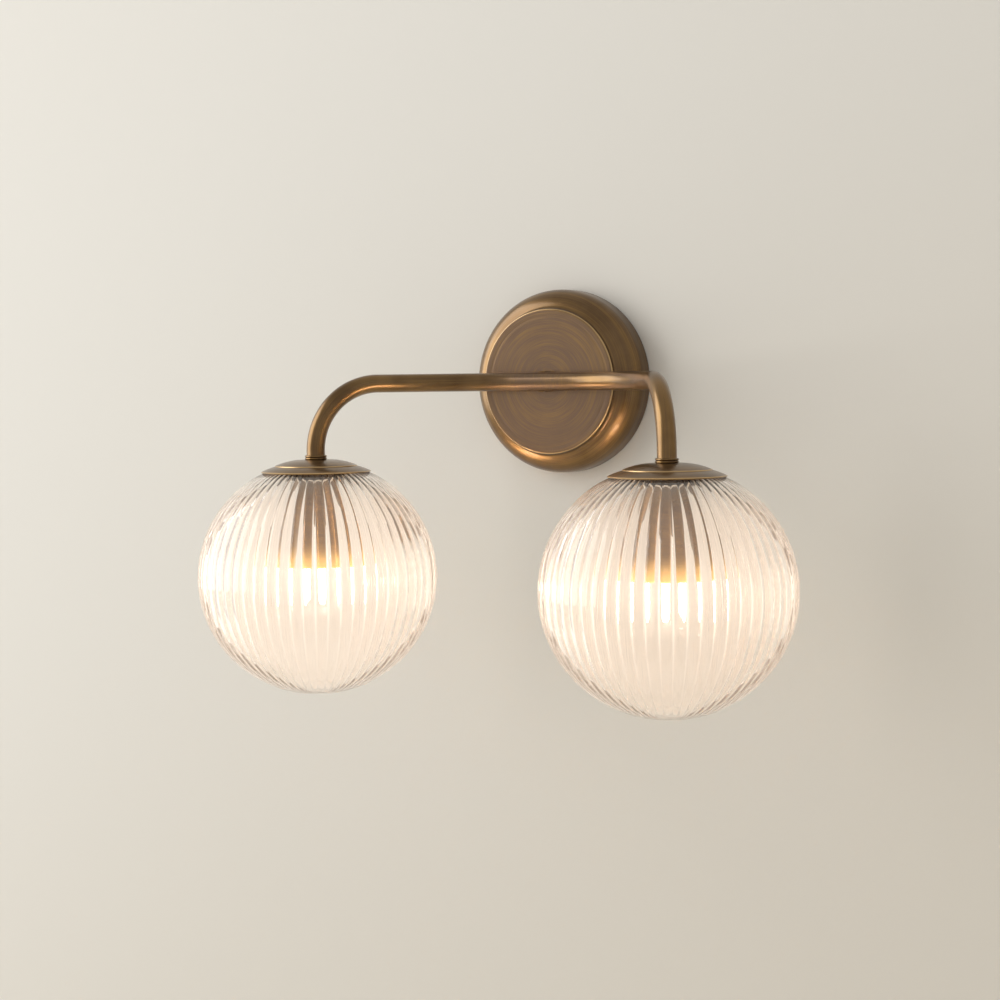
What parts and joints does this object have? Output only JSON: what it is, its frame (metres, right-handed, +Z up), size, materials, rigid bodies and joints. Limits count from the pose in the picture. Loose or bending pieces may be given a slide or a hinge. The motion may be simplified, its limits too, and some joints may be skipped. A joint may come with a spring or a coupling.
{
  "type": "double arm wall sconce",
  "caption": "Wall sconce with a round rose, a forward bowed brass tube and two downward ribbed glass globes on shallow caps.",
  "frame": {"origin": "centre of the two wall screw slots, on the wall plane behind the rose", "axes": "+X right along the wall, +Y into the wall, +Z up"},
  "size_m": [0.3922, 0.1853, 0.2517],
  "materials": {
    "antique_brass": "antique, brushed and lacquered",
    "zinc_steel": "zinc plated",
    "bright_brass": "turned",
    "white_nylon": "moulded",
    "clear_glass": "ribbed clear glass",
    "silicone": "translucent",
    "white_ceramic": "fired, unglazed",
    "lamp_glass": "frosted, lit",
    "pin_metal": "nickel",
    "lead_sleeve": "translucent sleeve"
  },
  "bodies": {
    "bracket": {"wall_bracket": "zinc_steel", "earth_washer": "zinc_steel", "earth_screw": "bright_brass", "terminal_block": "white_nylon", "terminal_screws": "bright_brass"},
    "fixture": {"wall_rose": "antique_brass", "rose_screws": "antique_brass", "bow_arm": "antique_brass", "arm_boss": "antique_brass", "rose_stem": "zinc_steel", "stem_washer": "zinc_steel", "stem_nut": "zinc_steel", "left_collar": "antique_brass", "left_nipple": "zinc_steel", "left_cap": "antique_brass", "left_cup": "antique_brass", "left_cap_nut": "zinc_steel", "left_lampholder": "white_ceramic", "left_lead": "lead_sleeve", "right_collar": "antique_brass", "right_nipple": "zinc_steel", "right_cap": "antique_brass", "right_cup": "antique_brass", "right_cap_nut": "zinc_steel", "right_lampholder": "white_ceramic", "right_lead": "lead_sleeve"},
    "left_globe": {"left_globe": "clear_glass", "left_neck_ring": "antique_brass", "left_neck_gasket": "silicone"},
    "left_lamp": {"left_lamp_base": "white_ceramic", "left_lamp_pins": "pin_metal", "left_lamp_bulb": "lamp_glass"},
    "right_globe": {"right_globe": "clear_glass", "right_neck_ring": "antique_brass", "right_neck_gasket": "silicone"},
    "right_lamp": {"right_lamp_base": "white_ceramic", "right_lamp_pins": "pin_metal", "right_lamp_bulb": "lamp_glass"}
  },
  "joints": [
    {"name": "rose_pull_off", "type": "slide", "parent": "bracket", "child": "fixture", "axis": [0, -1, 0], "range_m": [0, 0.014]},
    {"name": "left_globe_unscrew", "type": "hinge", "parent": "fixture", "child": "left_globe", "pos_m": [-0.12113, -0.11032, -0.121], "axis": [0, 0, -1], "range_deg": [0, 540]},
    {"name": "left_lamp_pull", "type": "slide", "parent": "fixture", "child": "left_lamp", "axis": [0, 0, -1], "range_m": [0, 0.012]},
    {"name": "right_globe_unscrew", "type": "hinge", "parent": "fixture", "child": "right_globe", "pos_m": [0.12113, -0.11032, -0.121], "axis": [0, 0, -1], "range_deg": [0, 540]},
    {"name": "right_lamp_pull", "type": "slide", "parent": "fixture", "child": "right_lamp", "axis": [0, 0, -1], "range_m": [0, 0.012]}
  ]
}
